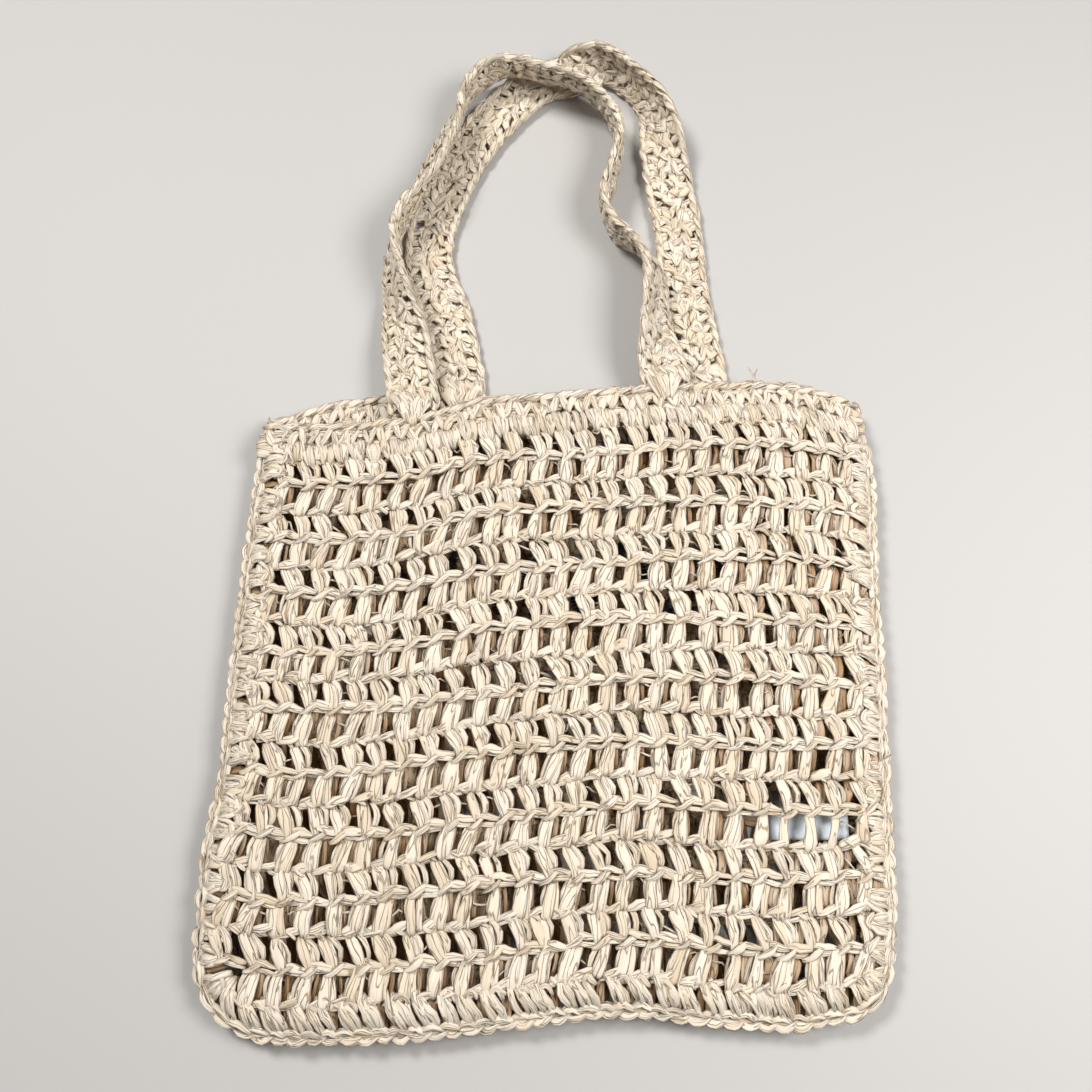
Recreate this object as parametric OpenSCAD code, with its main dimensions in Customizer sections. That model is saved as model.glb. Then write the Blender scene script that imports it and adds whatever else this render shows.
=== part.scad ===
// Crocheted raffia beach bag lying flat on its back panel, handles laid out above the mouth.
// Frame: millimetres, +X to the wearer's right, +Y towards the handles, +Z up off the surface
// that the bag lies on. The origin is the middle of the footprint, on that surface.

/* [Bag body] */
// Width of the bag at its widest course
body_w = 380; // [340:4:420]
// Height of the bag from its bottom seam to its left top corner
body_h = 344; // [310:4:380]
// Height of the close-worked band at the mouth
band_h = 22; // [22:1:40]

/* [Openwork] */
// Number of openwork courses between the bottom seam and the band
courses = 18; // [12:1:22]
// Number of openings in each course
gaps = 24; // [14:1:28]
// Share of each stitch that is left open, across the bag
open_across = 0.44; // [0.3:0.02:0.6]
// Share of each course that is left open, up the bag
open_up = 0.62; // [0.4:0.02:0.7]

/* [Thickness] */
// Thickness of one crocheted panel
panel_t = 6; // [4:0.5:8]
// Clear space between the two panels
hollow_t = 8; // [6:0.5:16]

/* [Seams] */
// Width of the chain worked round the sides and bottom
edge_chain_w = 6; // [4:0.5:8]
// Width of the wrapped stitches inside that chain
edge_wrap_w = 12; // [8:0.5:16]
// Radius of the left bottom corner
corner_r_left = 34; // [24:1:44]
// Radius of the right bottom corner
corner_r_right = 18; // [10:1:24]

/* [Handles] */
// Full width of a handle
strap_w = 30; // [24:1:34]
// Thickness of a handle
strap_t = 5; // [4:0.5:6]
// Width of the chain along each edge of a handle
strap_chain_w = 4; // [3:0.5:5]

/* [Label] */
// Width of the sewn-in label, from its seam to its free end
label_w = 38; // [25:1:50]
// Height of the label
label_h = 17; // [12:1:25]

/* [Hidden] */

// Colours
raffia = [0.90, 0.84, 0.72];
raffia_dark = [0.78, 0.68, 0.52];
raffia_light = [0.94, 0.90, 0.80];
label_white = [0.88, 0.93, 0.97];
motif_black = [0.08, 0.08, 0.10];

// Heights of the layers above the surface that the bag lies on
front_z = panel_t + hollow_t;
bag_t = front_z + panel_t;
rim_chain_w = 6;
margin = edge_chain_w + edge_wrap_w;
bottom_margin = 21;
clearance = 0.3;

// How far the real, soft edges stand from a plain rectangle, in equal steps. Left and right are
// listed from the bottom up, bottom and rims from left to right. All are millimetres.
left_bow = [0, -1, -1.3, 4, 5, 6, 8, 10, 13];
right_bow = [-16, -9, -7, -5, -3, -2, 0, 1.5, -4];
bottom_bow = [0, -8, -7.5, -5, 1, 4.5, 0, -1.5, 7];
front_rim_bow = [-5, -6, -1, 12, 15, 19, 22, 21, 9];
back_rim_bow = [2, 15, 20, 18, 16, 17, 19, 19, 8];
left_x = -body_w / 2;
right_x = body_w / 2;
bottom_y = -303;
top_y = bottom_y + body_h - 2;

// Smooth value of an evenly spaced list at t from 0 to 1
function at(list, i) = list[max(0, min(len(list) - 1, i))];
function cubic(p0, p1, p2, p3, f) = p1 + 0.5 * f * ((p2 - p0)
    + f * ((2 * p0 - 5 * p1 + 4 * p2 - p3) + f * (3 * p1 - p0 - 3 * p2 + p3)));
function smooth(list, t) = let(s = t * (len(list) - 1), i = min(len(list) - 2, floor(s)))
    cubic(at(list, i - 1), at(list, i), at(list, i + 1), at(list, i + 2), s - i);

// Place on the flat bag of a point a mm in from the left edge and b mm up from the bottom edge
function mix(p, q, t) = p * (1 - t) + q * t;
function left_edge(v, rim) = [left_x + smooth(left_bow, v),
    mix(bottom_y + bottom_bow[0], top_y + rim[0], v)];
function right_edge(v, rim) = [right_x + smooth(right_bow, v),
    mix(bottom_y + bottom_bow[8], top_y + rim[8], v)];
function bottom_edge(u) = [mix(left_x + left_bow[0], right_x + right_bow[0], u),
    bottom_y + smooth(bottom_bow, u)];
function rim_edge(u, rim) = [mix(left_x + left_bow[8], right_x + right_bow[8], u),
    top_y + smooth(rim, u)];
function place(a, b, rim) = let(u = a / body_w, v = b / body_h)
    mix(left_edge(v, rim), right_edge(v, rim), u) + mix(bottom_edge(u), rim_edge(u, rim), v)
    - mix(mix(bottom_edge(0), bottom_edge(1), u), mix(rim_edge(0, rim), rim_edge(1, rim), u), v);
function places(points, rim) = [for (p = points) place(p[0], p[1], rim)];

// Path down the left side, along the bottom and up the right side, set in from the edge
mesh_top = body_h - band_h;
band_top = body_h - rim_chain_w;
steps = 26;
corner_steps = 8;
function line(p, q, n) = [for (i = [0:n]) p + (q - p) * i / n];
function corner(cx, cy, r, from) = [for (i = [1:corner_steps - 1])
    let(w = from + 90 * i / corner_steps) [cx + r * cos(w), cy + r * sin(w)]];
function u_path(inset, foot) = let(
    rl = max(2, corner_r_left - inset), rr = max(2, corner_r_right - inset),
    lx = inset, rx = body_w - inset)
    concat([[lx, body_h], [lx, band_top]],
        line([lx, mesh_top], [lx, foot + rl], steps), corner(lx + rl, foot + rl, rl, 180),
        line([lx + rl, foot], [rx - rr, foot], steps), corner(rx - rr, foot + rr, rr, 270),
        line([rx, foot + rr], [rx, mesh_top], steps),
        [[rx, band_top], [rx, body_h]]);
function reversed(list) = [for (i = [len(list) - 1:-1:0]) list[i]];
function slice(list, from, to) = [for (i = [from:to]) list[i]];

// Where the U path passes the band, the middles of its two corners and its last point
band_points = 2;
left_end = band_points + steps + corner_steps / 2;
right_start = band_points + 2 * steps + corner_steps + corner_steps / 2;
path_last = 2 * band_points + 3 * steps + 2 * corner_steps;

// Strip between two U paths, from point number first to point number last
module strip(outer, inner, first, last, rim, z, t) {
    translate([0, 0, z])
        linear_extrude(t)
            polygon(concat(places(slice(outer, first, last), rim),
                reversed(places(slice(inner, first, last), rim))));
}

outer_path = u_path(0, 0);
edge_chain_foot = edge_chain_w * 0.8;
chain_path = u_path(edge_chain_w, edge_chain_foot);
panel_path = u_path(margin, bottom_margin);

// One openwork panel: the sheet inside the seams, less one opening between each two posts
course_h = (mesh_top - bottom_margin) / courses;
gap_w = (body_w - 2 * margin) / gaps;
corner_clear = 6;
corner_keep = 0.55;
function inside_corners(a, b) = let(
    dl = corner_r_left - corner_clear, dr = corner_r_right - corner_clear / 2,
    al = margin + dl - a, ar = a - (body_w - margin - dr), bl = bottom_margin + dl - b,
    br = bottom_margin + dr - b)
    !(al > 0 && bl > 0 && al * al + bl * bl > dl * dl * corner_keep)
    && !(ar > 0 && br > 0 && ar * ar + br * br > dr * dr * corner_keep);

module openwork(rim) {
    lean = [-0.9, 0.6];
    linear_extrude(panel_t)
        difference() {
            polygon(concat(places(slice(panel_path, band_points, path_last - band_points), rim),
                reversed(places(slice(across_line(mesh_top), 1, steps - 1), rim))));
            for (i = [0:courses - 1], j = [0:gaps - 1]) {
                a = margin + (j + 0.5) * gap_w;
                b = bottom_margin + (i + 0.5) * course_h;
                ha = gap_w * open_across / 2;
                hb = course_h * open_up / 2;
                tilt = lean[i % 2];
                if (inside_corners(a, b))
                    polygon(places([[a - ha + tilt, b - hb], [a + ha + tilt, b - hb],
                        [a + ha - tilt, b + hb], [a - ha - tilt, b + hb]], rim));
            }
        }
}

// Close-worked strip across the mouth, between two heights measured from the bottom
function across_line(b) = line([margin, b], [body_w - margin, b], steps);
module across(from, to, rim, z) {
    translate([0, 0, z])
        linear_extrude(panel_t)
            polygon(concat(places(across_line(from), rim), reversed(places(across_line(to), rim))));
}

// ---- Handles: [x, y, height of the centre line, roll], roll 0 lying flat, 90 on edge with the
// outer edge up and -90 on edge with the inner edge up
front_route = [
    [-86, 47, 17, 0], [-88, 63, 17, -4], [-91, 85, 16.5, -12], [-94, 103, 17.5, -34],
    [-97, 119, 18.5, -54], [-100, 135, 18.5, -64], [-102, 150, 18, -73], [-101, 163, 17.8, -80],
    [-96, 177, 19.8, -80], [-88, 191, 20.5, -68], [-80, 208, 19.5, -58], [-74, 227, 17.5, -55],
    [-67, 247, 16, -60], [-62, 265, 15.6, -76], [-52, 282, 15.8, -80], [-36, 289, 20.5, -74],
    [-20, 288, 21.5, -70], [-5, 284, 21.5, -70], [10, 280, 21.5, -70], [26, 272, 19, -72],
    [36, 261, 16.5, -80], [42, 247, 15.5, -87], [43, 231, 15.5, -90], [38, 211, 15.5, -88],
    [33, 189, 15.5, -84], [39, 170, 15.5, -82], [51, 159, 15.5, -76], [60, 146, 19.5, -66],
    [63, 128, 20.5, -62], [62, 110, 21, -56], [63, 93, 19.5, -44], [65, 78, 17.5, -22],
    [68, 63, 17, 0]
];
back_route = [
    [-58, 61, 2.6, 0], [-61, 79, 2.6, 0], [-65, 99, 2.6, 0], [-70, 117, 2.6, 0],
    [-77, 135, 2.6, 0], [-81, 153, 2.6, 0], [-80, 174, 2.6, 0], [-76, 191, 2.6, 0],
    [-70, 208, 2.6, 0], [-61, 229, 2.6, 0], [-49, 250, 2.6, 0], [-36, 267, 2.6, 0],
    [-21, 282, 2.6, 0], [-7, 292, 2.9, 0], [8, 295.6, 4, 6], [20, 298.6, 9.9, 36],
    [32, 299.6, 15.6, 72], [45, 292.6, 16.4, 82], [58, 280, 16.4, 82], [68, 265, 15.2, 68],
    [72, 248, 12.2, 40], [74, 229, 6.5, 14], [77, 209, 3, 1], [80, 190, 2.6, 0],
    [82, 169, 2.6, 0], [83, 146, 2.6, 0], [85, 124, 2.6, 0], [88, 103, 2.6, 0],
    [91, 83, 2.6, 0], [93, 61, 2.6, 0]
];
rings_per_step = 3;

// The front rim is not level, so the front handle's ends lie along a slightly sloping line
front_feet = front_route[len(front_route) - 1] - front_route[0];
front_foot_slope = atan2(front_feet[1], front_feet[0]);

// Across a handle, at ring i of its route: the direction of its width and of its thickness
function sweep_points(route) = let(n = (len(route) - 1) * rings_per_step)
    [for (i = [0:n]) smooth(route, i / n)];
function unit(v) = v / norm(v);
function ring_frame(pts, i, end_w) = let(
    last = len(pts) - 1,
    p = pts[max(0, i - 1)], q = pts[min(last, i + 1)],
    t = unit([q[0] - p[0], q[1] - p[1], q[2] - p[2]]),
    level = i == 0 ? end_w : i == last ? -end_w : unit([t[1], -t[0], 0]),
    up = unit(cross(level, t)),
    roll = pts[i][3])
    [level * cos(roll) - up * sin(roll), up * cos(roll) + level * sin(roll)];

// Ribbon between two places across its width, swept along a route
module ribbon(route, across_from, across_to, thick, end_w) {
    pts = sweep_points(route);
    n = len(pts);
    rows = [for (i = [0:n - 1]) let(
        f = ring_frame(pts, i, end_w),
        c = [pts[i][0], pts[i][1], pts[i][2]])
        each [c + f[0] * across_from - f[1] * thick / 2, c + f[0] * across_to - f[1] * thick / 2,
            c + f[0] * across_to + f[1] * thick / 2, c + f[0] * across_from + f[1] * thick / 2]];
    sides = [for (i = [0:n - 2], k = [0:3]) let(
        a = 4 * i + k, b = 4 * i + (k + 1) % 4, c = b + 4, d = a + 4)
        each [[a, b, c], [a, c, d]]];
    ends = [[3, 2, 1, 0], [for (k = [0:3]) 4 * (n - 1) + k]];
    polyhedron(rows, concat(sides, ends), convexity = 6);
}

front_end_w = [cos(front_foot_slope), sin(front_foot_slope), 0];
back_end_w = [1, 0, 0];
core_w = strap_w - 2 * strap_chain_w;
lap = 0.3;

// ---- Sub-parts
module back_panel() {
    color(raffia_dark) openwork(back_rim_bow);
}

module front_panel() {
    color(raffia) translate([0, 0, front_z]) openwork(front_rim_bow);
}

module back_band() {
    color(raffia_dark) across(mesh_top, body_h - rim_chain_w, back_rim_bow, 0);
}

module front_band() {
    color(raffia) across(mesh_top, body_h - rim_chain_w, front_rim_bow, front_z);
}

module back_rim_chain() {
    color(raffia) across(body_h - rim_chain_w, body_h, back_rim_bow, 0);
}

module front_rim_chain() {
    color(raffia_light) across(body_h - rim_chain_w, body_h, front_rim_bow, front_z);
}

module left_side_wraps() {
    color(raffia) side_wraps(0, left_end);
}

module right_side_wraps() {
    color(raffia) side_wraps(right_start, path_last);
}

module bottom_wraps() {
    color(raffia) side_wraps(left_end, right_start);
}

// The front rim stands above the back rim's corners, so each layer follows its own rim
module side_wraps(first, last) {
    strip(chain_path, panel_path, first, last, front_rim_bow, bag_t / 2, bag_t / 2);
    strip(chain_path, panel_path, first, last, back_rim_bow, 0, bag_t / 2);
}

module edge_chain() {
    chain_t = 10;
    color(raffia_light) {
        strip(outer_path, chain_path, 0, path_last, front_rim_bow, bag_t / 2, chain_t / 2);
        strip(outer_path, chain_path, 0, path_last, back_rim_bow, (bag_t - chain_t) / 2, chain_t / 2);
    }
}

module front_handle() {
    color(raffia) ribbon(front_route, -core_w / 2, core_w / 2, strap_t, front_end_w);
}

module front_handle_inner_chain() {
    color(raffia_light) ribbon(front_route, core_w / 2 - lap, strap_w / 2, strap_t, front_end_w);
}

module front_handle_outer_chain() {
    color(raffia_light) ribbon(front_route, -strap_w / 2, -core_w / 2 + lap, strap_t, front_end_w);
}

module back_handle() {
    color(raffia_dark) ribbon(back_route, -core_w / 2, core_w / 2, strap_t, back_end_w);
}

module back_handle_inner_chain() {
    color(raffia) ribbon(back_route, core_w / 2 - lap, strap_w / 2, strap_t, back_end_w);
}

module back_handle_outer_chain() {
    color(raffia) ribbon(back_route, -strap_w / 2, -core_w / 2 + lap, strap_t, back_end_w);
}

// Foot of a handle: the stitches that carry it on the rim, and their fan on the band
foot_pad_t = 2.5;
fan_r = 22;
fan_back = 9;
fan_h = 8;
block_back = 7;
hinge_gap = 0.35;
block_drop = strap_t + 0.5;
module foot(x, y, z, turn) {
    translate([x, y, z])
        rotate([0, 0, turn]) {
            linear_extrude(foot_pad_t)
                intersection() {
                    translate([0, fan_r - fan_back - fan_h]) circle(r = fan_r, $fn = 64);
                    translate([-strap_w / 2, -fan_back - fan_h]) square([strap_w, fan_h]);
                }
            translate([-strap_w / 2, -block_back, -block_drop])
                cube([strap_w, block_back - hinge_gap, block_drop]);
        }
}

module front_left_foot() {
    color(raffia_light) foot(-86, 47, bag_t, front_foot_slope);
}

module front_right_foot() {
    color(raffia_light) foot(68, 63, bag_t, front_foot_slope);
}

module back_left_foot() {
    color(raffia_dark) foot(-58, 61, panel_t, 0);
}

module back_right_foot() {
    color(raffia_dark) foot(93, 61, panel_t, 0);
}

// Blank woven label inside the right side seam, and the stitches that hold it
label_edge_x = 161;
label_y = -201;
label_t = 0.5;
label_lift = 0.9;
label_z = panel_t + label_lift;
module care_label() {
    color(label_white)
        translate([label_edge_x - label_w, label_y - label_h / 2, label_z])
            cube([label_w, label_h, label_t]);
}

module label_seam() {
    seam_t = 1.6;
    seam_w = 5;
    color(raffia_light)
        translate([label_edge_x + clearance, label_y - label_h / 2, panel_t])
            cube([seam_w, label_h, seam_t]);
}

// Plain zigzag in black satin stitch on the back panel
motif_left = -126;
motif_right = 138;
motif_y = -61;
motif_peaks = 11;
motif_rise = 44;
motif_stroke = 7;
motif_t = 0.6;
module black_motif() {
    step = (motif_right - motif_left) / motif_peaks;
    color(motif_black)
        translate([0, 0, panel_t])
            linear_extrude(motif_t)
                union()
                    for (i = [0:motif_peaks - 1]) {
                        up = i % 2 == 0 ? 1 : -1;
                        x = motif_left + i * step;
                        y = motif_y - up * motif_rise / 2;
                        polygon([[x - motif_stroke / 2, y], [x + motif_stroke / 2, y],
                            [x + step + motif_stroke / 2, y + up * motif_rise],
                            [x + step - motif_stroke / 2, y + up * motif_rise]]);
                    }
}

// Loose end of raffia at the rim
tail_x = 122;
tail_y = 59.8;
tail_lean = 74;
tail_turn = 14;
tail_l = 10;
tail_r = 1.1;
module yarn_tail() {
    color(raffia_light)
        translate([tail_x, tail_y, front_z + panel_t / 2])
            rotate([-tail_lean, 0, tail_turn])
                cylinder(h = tail_l, r = tail_r, $fn = 24);
}

back_panel();
front_panel();
back_band();
front_band();
back_rim_chain();
front_rim_chain();
left_side_wraps();
right_side_wraps();
bottom_wraps();
edge_chain();
front_handle();
front_handle_inner_chain();
front_handle_outer_chain();
back_handle();
back_handle_inner_chain();
back_handle_outer_chain();
front_left_foot();
front_right_foot();
back_left_foot();
back_right_foot();
care_label();
label_seam();
black_motif();
yarn_tail();
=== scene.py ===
"""Crocheted raffia beach bag, lying flat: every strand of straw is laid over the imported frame."""

import math

import bpy
import numpy as np
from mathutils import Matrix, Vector


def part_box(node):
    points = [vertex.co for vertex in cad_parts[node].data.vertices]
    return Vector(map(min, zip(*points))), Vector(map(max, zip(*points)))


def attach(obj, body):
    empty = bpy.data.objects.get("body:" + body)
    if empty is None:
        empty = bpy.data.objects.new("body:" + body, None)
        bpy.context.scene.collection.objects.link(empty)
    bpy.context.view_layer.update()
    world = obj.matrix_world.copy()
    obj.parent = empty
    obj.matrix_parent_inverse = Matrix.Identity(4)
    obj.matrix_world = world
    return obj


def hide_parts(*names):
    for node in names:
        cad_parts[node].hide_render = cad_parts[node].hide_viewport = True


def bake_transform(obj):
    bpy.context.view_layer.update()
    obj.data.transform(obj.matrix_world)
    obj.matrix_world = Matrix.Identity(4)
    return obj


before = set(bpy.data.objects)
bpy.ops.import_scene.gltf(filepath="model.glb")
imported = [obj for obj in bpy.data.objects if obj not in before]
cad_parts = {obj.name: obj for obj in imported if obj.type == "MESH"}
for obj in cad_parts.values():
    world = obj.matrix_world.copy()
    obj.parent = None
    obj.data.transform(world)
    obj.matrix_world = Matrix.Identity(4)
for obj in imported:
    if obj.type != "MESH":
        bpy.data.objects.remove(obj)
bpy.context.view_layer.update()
rng = np.random.default_rng(41)

MM = 0.001
SIDES = 8  # corners of a strand's section
RINGS = 7  # sections along a strand
LIFT_RANGE = 3.2  # from a strand hidden deep in the work, in full painted shade, to one that stands proud, with none
CREASE_HEIGHT = 0.42  # height at the fold down a strand's middle, against its full height


# ---------------------------------------------------------------- plan of the bag, millimetres
BODY_W = 380.0
BODY_H = 344.0
BAND_H = 22.0
COURSES = 18
GAPS = 24
PANEL_T = 6.0
FRONT_Z = 14.0
BAG_T = FRONT_Z + PANEL_T
EDGE_CHAIN_W = 6.0
MARGIN = 18.0
BOTTOM_MARGIN = 21.0
CORNER_LEFT = 34.0
CORNER_RIGHT = 18.0
LEFT_BOW = [0, -1, -1.3, 4, 5, 6, 8, 10, 13]
RIGHT_BOW = [-16, -9, -7, -5, -3, -2, 0, 1.5, -4]
BOTTOM_BOW = [0, -8, -7.5, -5, 1, 4.5, 0, -1.5, 7]
FRONT_RIM_BOW = [-5, -6, -1, 12, 15, 19, 22, 21, 9]
BACK_RIM_BOW = [2, 15, 20, 18, 16, 17, 19, 19, 8]
LEFT_X = -BODY_W / 2
RIGHT_X = BODY_W / 2
BOTTOM_Y = -303.0
TOP_Y = BOTTOM_Y + BODY_H - 2
MESH_TOP = BODY_H - BAND_H
COURSE_H = (MESH_TOP - BOTTOM_MARGIN) / COURSES
STITCH_W = (BODY_W - 2 * MARGIN) / GAPS
HANDLE_HALF_W = 15.0
HANDLE_TUCK = 7.0  # how far each handle end runs on past its route, down behind its foot

# Handles, from the left foot to the right: x, y, height of the centre line and roll in degrees.
# A fitting program gave the first places; some were then moved, and heights and rolls reset.
FRONT_ROUTE = [
    [-86, 47, 17, 0], [-88, 63, 17, -4], [-91, 85, 16.5, -12], [-94, 103, 17.5, -34],
    [-97, 119, 18.5, -54], [-100, 135, 18.5, -64], [-102, 150, 18, -73], [-101, 163, 17.8, -80],
    [-96, 177, 19.8, -80], [-88, 191, 20.5, -68], [-80, 208, 19.5, -58], [-74, 227, 17.5, -55],
    [-67, 247, 16, -60], [-62, 265, 15.6, -76], [-52, 282, 15.8, -80], [-36, 289, 20.5, -74],
    [-20, 288, 21.5, -70], [-5, 284, 21.5, -70], [10, 280, 21.5, -70], [26, 272, 19, -72],
    [36, 261, 16.5, -80], [42, 247, 15.5, -87], [43, 231, 15.5, -90], [38, 211, 15.5, -88],
    [33, 189, 15.5, -84], [39, 170, 15.5, -82], [51, 159, 15.5, -76], [60, 146, 19.5, -66],
    [63, 128, 20.5, -62], [62, 110, 21, -56], [63, 93, 19.5, -44], [65, 78, 17.5, -22],
    [68, 63, 17, 0],
]
BACK_ROUTE = [
    [-58, 61, 2.6, 0], [-61, 79, 2.6, 0], [-65, 99, 2.6, 0], [-70, 117, 2.6, 0],
    [-77, 135, 2.6, 0], [-81, 153, 2.6, 0], [-80, 174, 2.6, 0], [-76, 191, 2.6, 0],
    [-70, 208, 2.6, 0], [-61, 229, 2.6, 0], [-49, 250, 2.6, 0], [-36, 267, 2.6, 0],
    [-21, 282, 2.6, 0], [-7, 292, 2.9, 0], [8, 295.6, 4, 6], [20, 298.6, 9.9, 36],
    [32, 299.6, 15.6, 72], [45, 292.6, 16.4, 82], [58, 280, 16.4, 82], [68, 265, 15.2, 68],
    [72, 248, 12.2, 40], [74, 229, 6.5, 14], [77, 209, 3, 1], [80, 190, 2.6, 0],
    [82, 169, 2.6, 0], [83, 146, 2.6, 0], [85, 124, 2.6, 0], [88, 103, 2.6, 0],
    [91, 83, 2.6, 0], [93, 61, 2.6, 0],
]


def smooth(values, t):
    """Smooth value of an evenly spaced list at t from 0 to 1; straight on past either end."""
    values = np.asarray(values, float)
    last = len(values) - 1
    s = np.clip(t, 0, 1) * last
    i = np.minimum(s.astype(int), last - 1)
    f = s - i
    if values.ndim == 2:
        f = f[..., None]
    p0, p1 = values[np.maximum(i - 1, 0)], values[i]
    p2, p3 = values[i + 1], values[np.minimum(i + 2, last)]
    return p1 + 0.5 * f * (
        (p2 - p0) + f * ((2 * p0 - 5 * p1 + 4 * p2 - p3) + f * (3 * p1 - p0 - 3 * p2 + p3))
    )


def mix(p, q, t):
    return p * (1 - t) + q * t


def place(a, b, rim):
    """x and y of a point a mm in from the left edge and b mm up from the bottom edge."""
    u, v = a / BODY_W, b / BODY_H
    y0, y1 = BOTTOM_Y + BOTTOM_BOW[0], BOTTOM_Y + BOTTOM_BOW[-1]
    y2, y3 = TOP_Y + rim[0], TOP_Y + rim[-1]
    x = mix(LEFT_X + smooth(LEFT_BOW, v), RIGHT_X + smooth(RIGHT_BOW, v), u)
    y = mix(mix(y0, y2, v), mix(y1, y3, v), u)
    y = y + mix(BOTTOM_Y + smooth(BOTTOM_BOW, u), TOP_Y + smooth(rim, u), v)
    y = y - mix(mix(y0, y1, u), mix(y2, y3, u), v)
    return x, y


def ripple(a, b):
    """Gentle rise and fall of the soft front panel over the one below."""
    return 0.9 * np.sin(a / 47 + 1.3) * np.sin(b / 61 + 0.4) + 0.6 * np.sin(a / 23 + b / 31)


def panel_surface(rim, middle, side, swell=0.0, flat=1.0):
    """Local (a, b, h): across the bag, up the bag, and out of the face that side points to."""

    def at(p):
        x, y = place(p[..., 0], p[..., 1], rim)
        z = middle + swell * ripple(p[..., 0], p[..., 1]) + side * flat * p[..., 2]
        return np.stack([x, y, z], -1)

    return at


def edge_surface(rim, middle, b0, swell):
    """Local (s, q, h) along the bag's width at height b0: q grows towards the bottom seam."""
    panel = panel_surface(rim, middle, 1, swell)

    def at(p):
        return panel(np.stack([p[..., 0], b0 - p[..., 1], p[..., 2]], -1))

    return at


SEAM_POINTS = 60  # points along each straight stretch of the seam


def seam_line(inset, foot):
    """Points (a, b) down the left side, round the bottom and up the right side, set in."""
    rl, rr = max(2, CORNER_LEFT - inset), max(2, CORNER_RIGHT - inset)
    right = BODY_W - inset
    turn = np.linspace(0, math.pi / 2, SEAM_POINTS // 4)[1:-1]
    t = np.linspace(0, 1, SEAM_POINTS)
    left_side = np.stack([np.full(SEAM_POINTS, inset), mix(BODY_H, foot + rl, t)], -1)
    left_turn = np.stack([inset + rl - rl * np.cos(turn), foot + rl - rl * np.sin(turn)], -1)
    base = np.stack([mix(inset + rl, right - rr, t), np.full(SEAM_POINTS, foot)], -1)
    right_turn = np.stack([right - rr + rr * np.sin(turn), foot + rr - rr * np.cos(turn)], -1)
    right_side = np.stack([np.full(SEAM_POINTS, right), mix(foot + rr, BODY_H, t)], -1)
    return np.concatenate([left_side, left_turn, base, right_turn, right_side])


OUTER_LINE = seam_line(0, 0)
INNER_LINE = seam_line(MARGIN, BOTTOM_MARGIN)
_steps = np.linalg.norm(np.diff((OUTER_LINE + INNER_LINE) / 2, axis=0), axis=1)
SEAM_S = np.concatenate([[0], np.cumsum(_steps)])
SEAM_LENGTH = SEAM_S[-1]


def seam_surface(rim, side):
    """Local (s, q, h) along the seam: q is 0 at the outer edge and -MARGIN at the openwork."""

    def at(p):
        s, t = p[..., 0], -p[..., 1] / MARGIN
        outer = np.stack([np.interp(s, SEAM_S, OUTER_LINE[:, k]) for k in (0, 1)], -1)
        inner = np.stack([np.interp(s, SEAM_S, INNER_LINE[:, k]) for k in (0, 1)], -1)
        ab = mix(outer, inner, t[..., None])
        x, y = place(ab[..., 0], ab[..., 1], rim)
        rise = np.sin(np.clip((t - 0.12) / 0.75, 0, 1) * math.pi / 2)
        z = BAG_T / 2 + side * (rise * (BAG_T - PANEL_T) / 2 + p[..., 2])
        return np.stack([x, y, z], -1)

    return at


def unit(v):
    return v / np.maximum(np.linalg.norm(v, axis=-1, keepdims=True), 1e-9)


class Handle:
    """A handle's centre line with its width and thickness directions, by length along it."""

    def __init__(self, route, slope):
        pts = smooth(route, np.linspace(0, 1, 500))
        ends = np.array([[math.sin(slope), -math.cos(slope), 0, 0]])
        pts = np.concatenate([pts[:1] + ends * HANDLE_TUCK, pts, pts[-1:] + ends * HANDLE_TUCK])
        step = np.linalg.norm(np.diff(pts[:, :3], axis=0), axis=1)
        self.s = np.concatenate([[0], np.cumsum(step)])
        self.length = self.s[-1]
        t = unit(np.gradient(pts[:, :3], self.s, axis=0))
        level = unit(np.stack([t[:, 1], -t[:, 0], 0 * t[:, 0]], -1))
        up = unit(np.cross(level, t))
        roll = np.radians(pts[:, 3:4])
        self.centre = pts[:, :3]
        self.width = level * np.cos(roll) - up * np.sin(roll)
        self.face = up * np.cos(roll) + level * np.sin(roll)

    def surface(self, side, cup):
        """Local (s, q, h): along the handle, across it, and out of its face; cup bows it across."""

        def at(p):
            s, q, h = p[..., 0], p[..., 1], p[..., 2]
            centre, width, face = (
                np.stack([np.interp(s, self.s, m[:, k]) for k in range(3)], -1)
                for m in (self.centre, self.width, self.face)
            )
            bow = smooth(cup, s / self.length) * ((q / HANDLE_HALF_W) ** 2 - 0.35)
            return centre + width * (side * q)[..., None] + face * (side * h + bow)[..., None]

        return at


# ---------------------------------------------------------------- strands of straw
def resample(control):
    """Control values (n, c, k) along a smooth line, at RINGS places."""
    last = control.shape[1] - 1
    s = np.linspace(0, last, RINGS)
    i = np.minimum(s.astype(int), last - 1)
    f = (s - i)[None, :, None]
    p0, p1 = control[:, np.maximum(i - 1, 0)], control[:, i]
    p2, p3 = control[:, i + 1], control[:, np.minimum(i + 2, last)]
    return p1 + 0.5 * f * (
        (p2 - p0) + f * ((2 * p0 - 5 * p1 + 4 * p2 - p3) + f * (3 * p1 - p0 - 3 * p2 + p3))
    )


def wobble(shape, amount):
    """Hand-made unevenness, never more than twice amount."""
    return np.clip(rng.normal(0, 1, shape), -2, 2) * amount


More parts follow.
